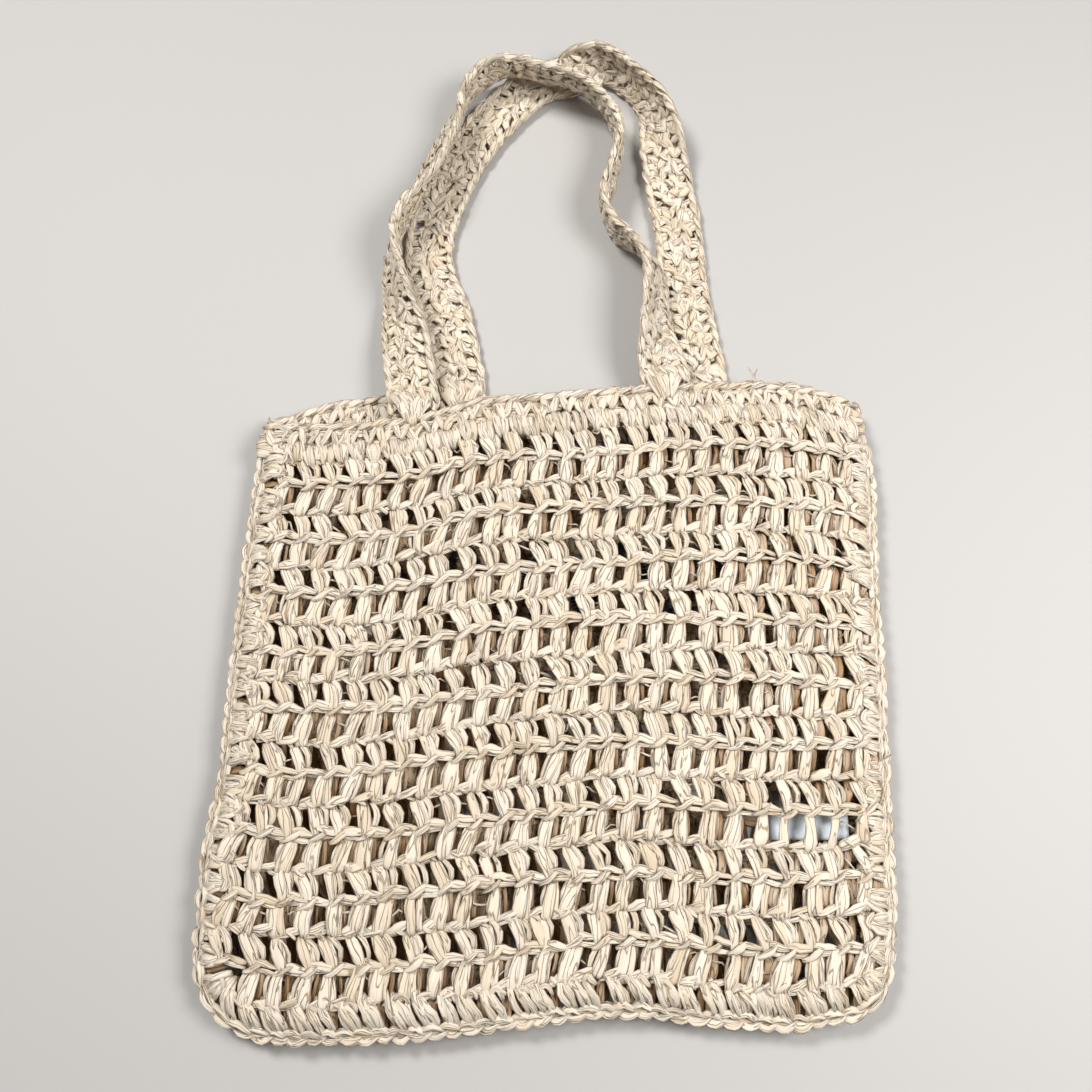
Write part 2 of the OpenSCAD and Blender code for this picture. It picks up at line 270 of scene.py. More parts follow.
class Straw:
    """Gathers strands, each a flattened, creased ribbon, and makes one mesh of them."""

    def __init__(self):
        self.corners, self.length, self.lift, self.tint = [], [], [], []

    def lay(self, surface, where, strand, thick=1.5, loose=0.45, roll=None, lean=0.0, depth_shade=True):
        """One strand at each place in where (n, 2). strand is rows of (x, y, h, width)."""
        where = np.asarray(where, float).reshape(-1, 2)
        strand = np.asarray(strand, float)
        n, c = len(where), len(strand)
        if not n:
            return
        p = np.repeat(strand[None, :, :3], n, 0)
        p[..., 0] += np.reshape(lean, (-1, 1)) * (p[..., 1] / COURSE_H - 0.5)
        p[..., :2] += where[:, None]
        p[..., :2] += wobble((n, 1, 2), loose) + wobble((n, c, 2), loose * 0.6)
        p[..., 2] += wobble((n, 1), 0.28) + wobble((n, c), 0.2)
        width = strand[None, :, 3] * (1 + wobble((n, 1), 0.13) + wobble((n, c), 0.1))
        turn = np.zeros((n, c)) if roll is None else np.repeat(np.asarray(roll, float)[None], n, 0)
        turn = turn + wobble((n, 1), 11.0) + wobble((n, c), 10.0)
        control = np.concatenate([p, width[..., None], turn[..., None]], -1)
        self.add(surface, resample(control), thick, depth_shade)

    def add(self, surface, ring, thick, depth_shade):
        """Strands from rings of (x, y, h, width, roll): a creased section swept along each."""
        p, width, turn = ring[..., :3], np.maximum(ring[..., 3], 0.3), np.radians(ring[..., 4])
        n = len(p)
        pos = surface(p)
        up = unit(surface(p + np.array([0, 0, 0.5])) - pos)
        along = unit(np.gradient(pos, axis=1))
        side = unit(np.cross(along, up))
        face = np.cross(side, along)
        turn = turn[..., None]
        turned_face = face * np.cos(turn) - side * np.sin(turn)
        side = side * np.cos(turn) + face * np.sin(turn)
        full = width / width.max(1, keepdims=True)
        deep = thick * (0.55 + 0.45 * full) * (1 + wobble((n, 1), 0.08))
        angle = np.arange(SIDES) * 2 * math.pi / SIDES
        crease = np.ones((n, 1, SIDES))
        crease[..., 2] = CREASE_HEIGHT + wobble((n, 1), 0.2)
        crease[..., 6] = CREASE_HEIGHT + wobble((n, 1), 0.2)
        crease[..., 1] += wobble((n, 1), 0.25)
        crease[..., 3] += wobble((n, 1), 0.25)
        across = np.cos(angle) * width[..., None] / 2
        out = np.sin(angle) * crease * deep[..., None] / 2
        corners = pos[:, :, None] + side[:, :, None] * across[..., None]
        corners = corners + turned_face[:, :, None] * out[..., None]
        step = np.linalg.norm(np.diff(pos, axis=1), axis=-1)
        run = np.concatenate([np.zeros((n, 1)), np.cumsum(step, 1)], 1)
        self.corners.append(corners)
        self.length.append(run)
        # lift masks painted shade onto strands that lie deep in the work; strands laid without depth
        # shading get none
        self.lift.append(np.clip(p[..., 2] / LIFT_RANGE + 0.5, 0, 1) if depth_shade else np.ones((n, RINGS)))
        self.tint.append(rng.random(n))

    def make(self, name, material, body, nodes):
        """One named piece of all the strands, with straw-length UVs, its own tone per strand, and a lift
        mask for painted shade on deep strands.
        """
        corners = np.concatenate(self.corners)
        run = np.concatenate(self.length)
        lift = np.concatenate(self.lift)
        tint = np.concatenate(self.tint)
        n = len(corners)
        verts = (corners * MM).reshape(-1, 3)
        base = (np.arange(n) * RINGS * SIDES)[:, None, None]
        r = np.arange(RINGS - 1)[None, :, None] * SIDES
        k = np.arange(SIDES)[None, None, :]
        k2 = (k + 1) % SIDES
        quads = np.stack([base + r + k, base + r + k2, base + r + SIDES + k2, base + r + SIDES + k], -1)
        quads = quads.reshape(n, -1, 4)
        first = base[:, 0] + np.arange(SIDES)[::-1]
        final = base[:, 0] + (RINGS - 1) * SIDES + np.arange(SIDES)
        loops = np.concatenate([quads.reshape(n, -1), first, final], 1).ravel()
        sizes = np.tile([4] * ((RINGS - 1) * SIDES) + [SIDES] * 2, n)
        shift = rng.random((n, 1, 1)) * 37.0
        lane = rng.integers(0, 50, (n, 1, 1)) * 1.0
        u0 = (run[:, :-1, None] * 0.1 + shift) + 0 * k
        u1 = (run[:, 1:, None] * 0.1 + shift) + 0 * k
        v0 = k / SIDES + lane + 0 * u0
        v1 = (k + 1) / SIDES + lane + 0 * u0
        uv = np.stack([np.stack([u0, v0], -1), np.stack([u0, v1], -1), np.stack([u1, v1], -1),
                       np.stack([u1, v0], -1)], -2).reshape(n, -1, 2)
        cap = np.repeat(np.concatenate([shift, lane], -1), 2 * SIDES, 1)
        uv = np.concatenate([uv, cap], 1).reshape(-1, 2)
        mesh = bpy.data.meshes.new(name)
        mesh.vertices.add(len(verts))
        mesh.vertices.foreach_set("co", verts.astype(np.float32).ravel())
        mesh.loops.add(len(loops))
        mesh.loops.foreach_set("vertex_index", loops.astype(np.int32))
        mesh.polygons.add(len(sizes))
        starts = np.concatenate([[0], np.cumsum(sizes)[:-1]])
        mesh.polygons.foreach_set("loop_start", starts.astype(np.int32))
        mesh.polygons.foreach_set("use_smooth", np.ones(len(sizes), bool))
        layer = mesh.uv_layers.new(name="Straw")
        layer.data.foreach_set("uv", uv.astype(np.float32).ravel())
        shade = mesh.attributes.new("tint", "FLOAT", "FACE")
        shade.data.foreach_set("value", np.repeat(tint, (RINGS - 1) * SIDES + 2).astype(np.float32))
        height = mesh.attributes.new("lift", "FLOAT", "POINT")
        height.data.foreach_set("value", np.repeat(lift.ravel(), SIDES).astype(np.float32))
        mesh.update(calc_edges=True)
        piece = bpy.data.objects.new(name, mesh)
        bpy.context.scene.collection.objects.link(piece)
        piece.data.materials.append(material)
        if isinstance(body, str):
            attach(piece, body)
        else:
            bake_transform(piece)
        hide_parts(*nodes)


# ---------------------------------------------------------------- materials
def nodes_of(material):
    """The node tree of a material and its main shader."""
    material.use_nodes = True
    tree = material.node_tree
    return tree, tree.nodes["Principled BSDF"]


def straw_grain_and_shade_group():
    """Long fibres and sharp folds that run along a strand, with painted shade in the folds and a painted
    shade line down its edges.
    """
    group = bpy.data.node_groups.new("straw_grain_and_shade", "ShaderNodeTree")
    group.interface.new_socket("Edge", in_out="INPUT", socket_type="NodeSocketFloat").default_value = 0.3
    group.interface.new_socket("Shade", in_out="OUTPUT", socket_type="NodeSocketFloat")
    group.interface.new_socket("Height", in_out="OUTPUT", socket_type="NodeSocketFloat")
    link, new = group.links.new, group.nodes.new
    given, result = new("NodeGroupInput"), new("NodeGroupOutput")
    uv = new("ShaderNodeUVMap")
    uv.uv_map = "Straw"

    def streaks(along, across, detail, rough):
        scale = new("ShaderNodeMapping")
        scale.inputs["Scale"].default_value = (along, across, 1)
        noise = new("ShaderNodeTexNoise")
        noise.inputs["Scale"].default_value = 1.0
        noise.inputs["Detail"].default_value = detail
        noise.inputs["Roughness"].default_value = rough
        link(uv.outputs["UV"], scale.inputs["Vector"])
        link(scale.outputs["Vector"], noise.inputs["Vector"])
        return noise.outputs["Fac"]

    def sum_of(kind, left, right=0.0):
        node = new("ShaderNodeMath")
        node.operation = kind
        for socket, value in zip(node.inputs, (left, right)):
            if isinstance(value, (int, float)):
                socket.default_value = value
            else:
                link(value, socket)
        return node.outputs[0]

    def between(value, low, high):
        node = new("ShaderNodeMapRange")
        node.interpolation_type = "SMOOTHSTEP"
        link(value, node.inputs["Value"])
        for socket, limit in (("From Min", low), ("From Max", high)):
            if isinstance(limit, (int, float)):
                node.inputs[socket].default_value = limit
            else:
                link(limit, node.inputs[socket])
        return node.outputs["Result"]

    fibre = between(streaks(0.8, 24.0, 2.0, 0.55), 0.25, 0.75)
    fold = between(sum_of("ABSOLUTE", sum_of("SUBTRACT", streaks(0.5, 5.5, 0.6, 0.4), 0.5)), 0.0, 0.03)
    around = new("ShaderNodeSeparateXYZ")
    link(uv.outputs["UV"], around.inputs["Vector"])
    turn = sum_of("SINE", sum_of("MULTIPLY", around.outputs["Y"], 2 * math.pi))
    edge = between(sum_of("ABSOLUTE", turn), 0.02, given.outputs["Edge"])
    # painted shade: dark lines in the folds and down both edges of every strand, where shade falls between
    # strands
    painted_shade_lines = sum_of("MULTIPLY", sum_of("ADD", sum_of("MULTIPLY", fold, 0.72), 0.28), edge)
    shade = sum_of("MULTIPLY", painted_shade_lines, sum_of("ADD", sum_of("MULTIPLY", fibre, 0.24), 0.76))
    link(shade, result.inputs["Shade"])
    link(sum_of("ADD", sum_of("MULTIPLY", fibre, 0.25), fold), result.inputs["Height"])
    return group


STRAW_GRAIN_AND_SHADE = straw_grain_and_shade_group()


def raffia(name, pale, warm, deep, crease, hollow_shade):
    """Natural raffia straw: each strand its own tone, with fibres, folds and a dry sheen, and painted shade
    in the folds, down strand edges and on strands that lie deep in the work.
    """
    material = bpy.data.materials.new(name)
    tree, shader = nodes_of(material)
    link, new = tree.links.new, tree.nodes.new
    grain_and_shade = new("ShaderNodeGroup")
    grain_and_shade.node_tree = STRAW_GRAIN_AND_SHADE
    tint = new("ShaderNodeAttribute")
    tint.attribute_name = "tint"
    ramp = new("ShaderNodeValToRGB")
    ramp.color_ramp.elements[0].color = (*deep, 1)
    ramp.color_ramp.elements[1].color = (*pale, 1)
    ramp.color_ramp.elements.new(0.3).color = (*warm, 1)
    ramp.color_ramp.elements[0].position = 0.0
    ramp.color_ramp.elements[2].position = 0.85
    cloud = new("ShaderNodeTexNoise")
    cloud.inputs["Scale"].default_value = 55.0
    cloud.inputs["Detail"].default_value = 2.0
    place_of = new("ShaderNodeTexCoord")
    aged = new("ShaderNodeMix")
    aged.data_type = "RGBA"
    aged.blend_type = "MULTIPLY"
    cloud_amount = new("ShaderNodeMapRange")
    cloud_amount.inputs["From Min"].default_value = 0.45
    cloud_amount.inputs["From Max"].default_value = 0.75
    cloud_amount.inputs["To Max"].default_value = 0.5
    folded = new("ShaderNodeMix")
    folded.data_type = "RGBA"
    bumped = new("ShaderNodeBump")
    bumped.inputs["Strength"].default_value = 1.0
    bumped.inputs["Distance"].default_value = 0.0006
    link(tint.outputs["Fac"], ramp.inputs["Fac"])
    link(place_of.outputs["Object"], cloud.inputs["Vector"])
    link(cloud.outputs["Fac"], cloud_amount.inputs["Value"])
    link(cloud_amount.outputs["Result"], aged.inputs["Factor"])
    link(ramp.outputs["Color"], aged.inputs["A"])
    aged.inputs["B"].default_value = (*[0.5 + 0.5 * c for c in warm], 1)
    # painted shade: the crease colour darkens the folds and the edges of each strand
    link(grain_and_shade.outputs["Shade"], folded.inputs["Factor"])
    folded.inputs["A"].default_value = (*crease, 1)
    link(aged.outputs["Result"], folded.inputs["B"])
    # painted shade: strands that lie deep in the work are multiplied towards the hollow colour
    lift = new("ShaderNodeAttribute")
    lift.attribute_name = "lift"
    depth_shade = new("ShaderNodeMix")
    depth_shade.data_type = "RGBA"
    depth_shade.blend_type = "MULTIPLY"
    depth_shade.inputs["B"].default_value = (*hollow_shade, 1)
    depth_shade_amount = new("ShaderNodeMapRange")
    depth_shade_amount.inputs["From Max"].default_value = 0.75
    depth_shade_amount.inputs["To Min"].default_value = 1.0
    depth_shade_amount.inputs["To Max"].default_value = 0.0
    link(lift.outputs["Fac"], depth_shade_amount.inputs["Value"])
    link(depth_shade_amount.outputs["Result"], depth_shade.inputs["Factor"])
    link(folded.outputs["Result"], depth_shade.inputs["A"])
    link(depth_shade.outputs["Result"], shader.inputs["Base Color"])
    link(grain_and_shade.outputs["Height"], bumped.inputs["Height"])
    link(bumped.outputs["Normal"], shader.inputs["Normal"])
    rough = new("ShaderNodeMapRange")
    rough.inputs["To Min"].default_value = 0.72
    rough.inputs["To Max"].default_value = 0.52
    link(grain_and_shade.outputs["Shade"], rough.inputs["Value"])
    link(rough.outputs["Result"], shader.inputs["Roughness"])
    shader.inputs["Specular IOR Level"].default_value = 0.35
    shader.inputs["Sheen Weight"].default_value = 0.15
    shader.inputs["Sheen Roughness"].default_value = 0.5
    return material


# Each material: pale, warm and deep tones that strands take at random, then a crease colour and a hollow
# colour that are painted shade, for folds and strand edges and for strands deep in the work. The back
# panel's copy is darker and warmer all through, painted shade for straw seen in the shadow inside the bag.
# The band's and handles' copies have lighter painted shade.
RAFFIA_MESH = raffia("raffia_openwork", (0.88, 0.80, 0.68), (0.84, 0.745, 0.61), (0.77, 0.65, 0.495),
                     (0.27, 0.165, 0.08), (0.46, 0.29, 0.14))
RAFFIA_BACK_SHADED = raffia("raffia_back_panel_shaded", (0.84, 0.68, 0.46), (0.78, 0.60, 0.38), (0.68, 0.50, 0.29),
                     (0.19, 0.11, 0.045), (0.40, 0.25, 0.12))
RAFFIA_BAND = raffia("raffia_band", (0.88, 0.80, 0.685), (0.84, 0.75, 0.62), (0.78, 0.67, 0.52),
                     (0.33, 0.22, 0.12), (0.58, 0.42, 0.26))
RAFFIA_HANDLE = raffia("raffia_handle", (0.89, 0.81, 0.69), (0.85, 0.76, 0.62), (0.78, 0.67, 0.515),
                       (0.38, 0.26, 0.15), (0.66, 0.49, 0.32))


def woven_label():
    """White satin-woven tape with a fine plain weave and no print."""
    material = bpy.data.materials.new("label_tape")
    tree, shader = nodes_of(material)
    link, new = tree.links.new, tree.nodes.new
    uv = new("ShaderNodeTexCoord")
    waves = []
    for direction in ("X", "Y"):
        wave = new("ShaderNodeTexWave")
        wave.bands_direction = direction
        wave.inputs["Scale"].default_value = 620.0
        wave.inputs["Distortion"].default_value = 0.6
        link(uv.outputs["Object"], wave.inputs["Vector"])
        waves.append(wave.outputs["Fac"])
    weave = new("ShaderNodeMath")
    weave.operation = "MULTIPLY"
    link(waves[0], weave.inputs[0])
    link(waves[1], weave.inputs[1])
    shade = new("ShaderNodeMix")
    shade.data_type = "RGBA"
    shade.inputs["A"].default_value = (0.70, 0.78, 0.86, 1)
    shade.inputs["B"].default_value = (0.86, 0.90, 0.94, 1)
    link(weave.outputs[0], shade.inputs["Factor"])
    link(shade.outputs["Result"], shader.inputs["Base Color"])
    bumped = new("ShaderNodeBump")
    bumped.inputs["Strength"].default_value = 0.25
    bumped.inputs["Distance"].default_value = 0.0002
    link(weave.outputs[0], bumped.inputs["Height"])
    link(bumped.outputs["Normal"], shader.inputs["Normal"])
    shader.inputs["Roughness"].default_value = 0.42
    shader.inputs["Sheen Weight"].default_value = 0.2
    return material


def satin_thread():
    """Black embroidery thread, glossy along its lie."""
    material = bpy.data.materials.new("black_satin_thread")
    tree, shader = nodes_of(material)
    link, new = tree.links.new, tree.nodes.new
    grain_and_shade = new("ShaderNodeGroup")
    grain_and_shade.node_tree = STRAW_GRAIN_AND_SHADE
    # painted shade: the same fold and edge lines darken the black thread a little
    shade = new("ShaderNodeMix")
    shade.data_type = "RGBA"
    shade.inputs["A"].default_value = (0.004, 0.004, 0.006, 1)
    shade.inputs["B"].default_value = (0.018, 0.018, 0.024, 1)
    link(grain_and_shade.outputs["Shade"], shade.inputs["Factor"])
    link(shade.outputs["Result"], shader.inputs["Base Color"])
    bumped = new("ShaderNodeBump")
    bumped.inputs["Strength"].default_value = 0.5
    bumped.inputs["Distance"].default_value = 0.0003
    link(grain_and_shade.outputs["Height"], bumped.inputs["Height"])
    link(bumped.outputs["Normal"], shader.inputs["Normal"])
    shader.inputs["Roughness"].default_value = 0.3
    shader.inputs["Sheen Weight"].default_value = 0.3
    return material


# ---------------------------------------------------------------- openwork panels
# Strands of one stitch, as rows of (across, up, out of the face, width), in millimetres from the
# foot of its post. Courses alternate: leaning posts with a bowed strand, then upright posts.
H = COURSE_H
LEANING = {
    "leaf": [(-5.0, H - 0.2, -0.9, 2.4), (-5.0, H - 3.0, 1.0, 4.4), (-3.3, H - 7.0, 2.2, 6.0),
             (-1.0, 4.8, 2.3, 5.6), (0.3, 0.2, 1.6, 4.6), (0.8, -3.0, 0.2, 3.0)],
    "twin": [(-3.6, H - 0.6, -1.0, 2.2), (-2.4, H - 3.4, 0.5, 3.8), (-0.4, H - 7.4, 1.5, 4.8),
             (1.4, 4.4, 1.6, 4.6), (2.0, 0.0, 1.2, 3.8), (2.0, -3.2, 0.0, 2.4)],
    "bow": [(-3.0, H - 0.8, -0.4, 2.0), (1.2, H - 3.8, 1.2, 3.2), (4.3, H - 8.4, 1.2, 3.8),
            (4.3, 3.6, 0.4, 3.2), (3.0, -0.4, -0.8, 2.2)],
    "rear": [(-3.2, H, -1.4, 3.0), (0.0, H * 0.55, -2.0, 4.4), (1.2, -0.5, -1.8, 3.0)],
}
LEANING_CHAIN = {
    "leaf": [(-0.6, 1.2, 0.2, 2.2), (3.6, 1.5, 1.9, 3.9), (7.6, 0.8, 2.4, 4.6),
             (11.6, -0.1, 1.9, 3.7), (15.0, -0.6, 0.4, 2.2)],
    "leg": [(0.0, -1.8, 0.2, 1.8), (4.6, -2.1, 1.2, 2.9), (9.6, -2.6, 1.3, 3.0), (14.2, -3.0, 0.2, 1.9)],
    "tie": [(-3.8, -4.4, 1.0, 1.8), (0.0, -3.4, 2.4, 3.0), (3.6, -1.0, 3.1, 3.3), (7.0, 1.6, 1.6, 2.2)],
}
UPRIGHT = {
    "leaf": [(1.0, H - 0.2, -0.8, 3.0), (0.4, H - 3.4, 0.9, 4.6), (-0.6, H - 8.0, 2.0, 5.4),
             (-1.6, 4.0, 2.5, 6.2), (-2.0, 0.0, 2.3, 6.0), (-2.0, -3.0, 0.9, 4.0)],
    "twin": [(3.0, H - 0.4, -0.9, 2.6), (2.8, H - 3.6, 0.6, 4.0), (2.2, H - 8.0, 1.5, 4.6),
             (1.6, 4.0, 2.0, 5.2), (1.4, -0.2, 1.9, 5.0), (1.2, -3.0, 0.5, 3.4)],
    "left": [(-1.6, H - 2.0, 0.0, 2.0), (-4.0, H * 0.5, 0.8, 2.8), (-4.0, 0.8, 0.5, 2.4)],
    "right": [(4.6, H - 0.3, -0.8, 2.2), (5.2, H * 0.5, -1.0, 2.8), (4.4, 0.2, -1.5, 2.4)],
}
UPRIGHT_CHAIN = {
    "leaf": [(1.0, -1.6, 0.2, 2.4), (4.4, -1.0, 1.9, 4.2), (8.2, 0.3, 2.5, 4.8),
             (11.8, 1.4, 1.9, 4.0), (14.8, 1.8, 0.2, 2.4)],
    "leg": [(0.6, -3.2, 0.2, 1.7), (5.6, -2.4, 1.1, 2.6), (10.6, -1.2, 1.1, 2.6), (14.6, -0.4, 0.1, 1.7)],
    "tie": [(-9.8, -0.2, 1.4, 1.7), (-6.8, -1.9, 2.6, 2.5), (-4.0, -3.8, 1.4, 1.9)],
}
FILLER = [(6.0, H - 0.6, -1.8, 2.8), (7.4, H * 0.62, -0.9, 5.2), (7.0, H * 0.28, -0.9, 5.0),
          (6.4, -0.4, -1.8, 2.8)]
TIGHT_FROM = 250.0  # from here to the right edge more and more gaps are filled
TIGHT_WIDTH = 90.0
TIGHT_MOST = 0.75
LABEL_COURSE = 13  # the front course that the care label shows through
LABEL_FROM = 300.0
STRAY_SHARE = 0.3  # part of the stitches that have a stray fibre in the gap beside them
FRAY = [(-5.5, 2.0, -0.8, 0.6), (-1.8, 0.4, 0.6, 1.0), (1.8, 0.2, 0.4, 1.0), (5.5, -2.0, -1.0, 0.6)]


def clear_of_corners(a, b):
    """False for a stitch that the rounded bottom corners leave no room for."""
    left, right = CORNER_LEFT - MARGIN + 4, 6
    al, ar = MARGIN + left - a, a - (BODY_W - MARGIN - right)
    bl, br = BOTTOM_MARGIN + left - b, BOTTOM_MARGIN + right - b
    cut_left = (al > 0) & (bl > 0) & (al**2 + bl**2 > (left * 1.15) ** 2)
    cut_right = (ar > 0) & (br > 0) & (ar**2 + br**2 > (right * 1.15) ** 2)
    return ~(cut_left | cut_right)


def openwork(kind, surface, material, node, shift_a, shift_b):
    """The courses of one panel, each a piece of its own, from the band down."""
    for course in range(COURSES):
        straw = Straw()
        b = MESH_TOP - (course + 1) * COURSE_H + shift_b
        a = MARGIN + np.arange(GAPS + 1) * STITCH_W + shift_a
        a = a + wobble(a.shape, 0.9) + 0.9 * np.sin(a / 31 + course * 2.3)
        drift = 0.9 * np.sin(a / 41 + course * 1.7) + wobble(a.shape, 0.45)
        at = np.stack([a, b + drift], -1)
        at = at[clear_of_corners(at[:, 0], at[:, 1] + 4)]
        at = at[(at[:, 0] > MARGIN - 6) & (at[:, 0] < BODY_W - MARGIN + 6)]
        leaning = course % 2 == 0
        post, chain = (LEANING, LEANING_CHAIN) if leaning else (UPRIGHT, UPRIGHT_CHAIN)
        lean, fat = wobble(len(at), 1.5), 1 + wobble(len(at), 0.07)
        over_label = (kind == "front") & (course == LABEL_COURSE) & (at[:, 0] > LABEL_FROM)
        for part, strand in post.items():
            keep = ~over_label if part in ("left", "right", "twin") else slice(None)
            straw.lay(surface, at[keep], strand, loose=0.6, lean=(lean * fat)[keep])
        stray = at[rng.random(len(at)) < STRAY_SHARE] + [STITCH_W / 2, COURSE_H / 2]
        straw.lay(surface, stray, FRAY, thick=0.5, loose=2.4)
        if kind == "front":
            chance = np.clip((at[:, 0] - TIGHT_FROM) / TIGHT_WIDTH, 0, TIGHT_MOST)
            filled = at[(rng.random(len(at)) < chance) & ~over_label]
            straw.lay(surface, filled, FILLER, thick=1.8, loose=0.9)
        links = at[at[:, 0] < BODY_W - MARGIN - 4]
        for label, strand in chain.items():
            straw.lay(surface, at if label == "tie" else links, strand, thick=1.6, loose=0.5)
        straw.make(f"{kind}_course_{course + 1:02d}", material, "bag", [node])


front_face = panel_surface(FRONT_RIM_BOW, FRONT_Z + PANEL_T / 2, 1, swell=1.0)
back_face = panel_surface(BACK_RIM_BOW, PANEL_T / 2, -1, flat=0.72)
openwork("front", front_face, RAFFIA_MESH, "front_panel", shift_a=0.0, shift_b=0.0)
openwork("back", back_face, RAFFIA_BACK_SHADED, "back_panel", shift_a=5.5, shift_b=-4.0)


# ---------------------------------------------------------------- braided chains
def braid(straw, surface, start, end, q, h, pitch, radius, width, thick=1.9):
    """Three plies of leaf-shaped links wound round a line at (q, h) of the surface."""
    count = max(1, int(round((end - start) / pitch)))
    step = (end - start) / count
    reach = step * 0.74
    for ply in range(3):
        middle = math.radians(90 + 120 * ply)
        sweep = math.radians(62)
        rows, roll = [], []
        for t, fat in zip(np.linspace(-1, 1, 5), (0.5, 0.92, 1.0, 0.9, 0.5)):
            angle = middle + sweep * t
            r = radius * (0.8 + 0.3 * (1 - t * t))
            rows.append((reach * t, q + r * math.cos(angle), h + r * math.sin(angle), width * fat))
            roll.append(math.degrees(angle) - 90)
        s = start + (np.arange(count) + 0.5 + ply / 3 - 0.33) * step
        where = np.stack([s, 0 * s], -1)
        straw.lay(surface, where, rows, thick=thick, loose=0.3, roll=roll, depth_shade=False)


def linked(straw, surface, start, end, q, h, pitch):
    """Chain stitches in a row, each a pair of leaves that open towards the start."""
    count = max(1, int(round((end - start) / pitch)))
    step = (end - start) / count
    s = start + (np.arange(count) + 0.5) * step
    at = np.stack([s, np.full(count, q)], -1)
    for way in (1, -1):
        for leaf in (1, -1):
            straw.lay(surface, at + [0.12 * step * leaf, 0],
                      [(-0.62 * step, 0.2 * leaf, h - 0.4 * way, 2.0),
                       (-0.30 * step, 1.9 * leaf, h + 1.5 * way, 3.6),
                       (0.12 * step, 2.3 * leaf, h + 1.5 * way, 3.8),
                       (0.45 * step, 1.1 * leaf, h + 1.9 * way, 3.0),
                       (0.72 * step, 0.0, h + 0.6 * way, 1.8)], thick=1.9, loose=0.3, depth_shade=False)
    straw.lay(surface, at, [(-0.6 * step, 0.0, h, 3.6), (0.0, 0.0, h, 4.6), (0.6 * step, 0.0, h, 3.6)],
              thick=3.4, loose=0.2)


WRAP_PITCH = 9.8
WRAP_B = MESH_TOP + 1.2  # height of the row of wraps
V_PITCH = 9.6
V_B = MESH_TOP + 11.8  # height of the row of V stitches
RIM_BRAID_PITCH = 9.7
RIM_BRAID_DROP = 3.2  # from the top edge down to the middle of the rim chain


def band(kind, rim, middle, swell, band_node, chain_node):
    """Close-worked band at the mouth: wraps, a row of V stitches, and the rim chain."""
    left, right = EDGE_CHAIN_W + 1, BODY_W - EDGE_CHAIN_W - 1
    straw = Straw()
    for side in (1, -1):
        face = panel_surface(rim, middle, side, swell * side)
        wraps = np.arange(left + 7, right - 5, WRAP_PITCH)
        at = np.stack([wraps, np.full(len(wraps), WRAP_B)], -1)
        at = at + wobble(at.shape, 0.9)
        for t in (-1.0, -0.35, 0.3, 0.95):
            straw.lay(face, at, [(t * 3.4 - 1.8, 6.6, 0.2, 2.8), (t * 3.9 - 0.8, 3.4, 2.5, 3.8),
                                 (t * 3.8, -0.4, 3.1, 4.0), (t * 3.0 + 0.9, -4.0, 2.2, 3.6),
                                 (t * 1.8 + 1.5, -6.6, -0.3, 2.4)], thick=2.0, loose=0.55)
        straw.lay(face, at + [4.9, 0.6], [(-0.6, 4.0, -0.6, 3.0), (0, 0, 0.4, 4.4), (0.6, -4.0, -0.8, 3.0)])
        stitches = np.arange(left + 4, right - 3, V_PITCH)
        at = np.stack([stitches, np.full(len(stitches), V_B)], -1)
        at = at + wobble(at.shape, 0.8)
        for way in (1, -1):
            straw.lay(face, at, [(4.6 * way, 5.2, 0.6, 3.0), (3.4 * way, 2.4, 2.0, 4.6),
                                 (1.6 * way, -1.6, 2.4, 4.9), (0.2 * way, -5.2, 1.4, 3.2)],
                      thick=1.7, loose=0.7)
        straw.lay(face, at + [4.8, 1.0], [(-3.6, 2.6, 0.2, 3.0), (0, 1.6, 1.3, 4.4), (3.6, 2.6, 0.2, 3.0)],
                  loose=0.5)
    core = panel_surface(rim, middle, 1, swell)
    for b in (MESH_TOP + 1, MESH_TOP + 7, MESH_TOP + 13):
        s = np.arange(left, right, 11.0)
        straw.lay(core, np.stack([s, np.full(len(s), b)], -1),
                  [(-8, 0, 0, 4), (-3, 0.3, 0.2, 6.6), (3, -0.3, 0.1, 6.6), (8, 0, 0, 4)], thick=2.4)
    straw.make(f"{kind}_band_stitches", RAFFIA_BAND, "bag", [band_node])
    chain = Straw()
    line = edge_surface(rim, middle, BODY_H - RIM_BRAID_DROP, swell)
    braid(chain, line, left, right, 0, 0, RIM_BRAID_PITCH, radius=1.8, width=4.6, thick=2.1)
    chain.make(f"{kind}_rim_braid", RAFFIA_BAND, "bag", [chain_node])


band("front", FRONT_RIM_BOW, FRONT_Z + PANEL_T / 2, 1.0, "front_band", "front_rim_chain")
band("back", BACK_RIM_BOW, PANEL_T / 2 + 0.4, 0.0, "back_band", "back_rim_chain")


# ---------------------------------------------------------------- seams
SHELL_PITCH = 13.2
EDGE_BRAID_PITCH = 9.4
SHELL = [
    [(t * 0.9, -20.5, -0.6, 1.8), (t * 2.2, -17.0, 1.6, 3.0), (t * 4.2, -12.0, 2.9, 3.8),
     (t * 5.4, -7.4, 2.2, 3.8), (t * 5.8, -3.6, -0.6, 2.4)]
    for t in (-1.0, -0.55, -0.1, 0.35, 0.8)
]
CLUSTER = [
    [(t * 1.2 - 5.2, -20.0, -0.6, 2.0), (t * 2.2 - 3.6, -16.6, 1.7, 3.4), (t * 3.4 - 0.6, -12.4, 2.9, 4.2),
     (t * 3.6 + 2.2, -8.4, 2.4, 4.0), (t * 2.6 + 4.2, -4.4, -0.4, 2.6)]
    for t in (-1.0, -0.35, 0.3, 0.95)
]
KNOT = [(-3.4, -15.0, 1.8, 2.0), (-0.8, -17.4, 3.1, 3.0), (2.2, -16.2, 3.0, 3.0), (4.0, -13.4, 1.6, 1.8)]
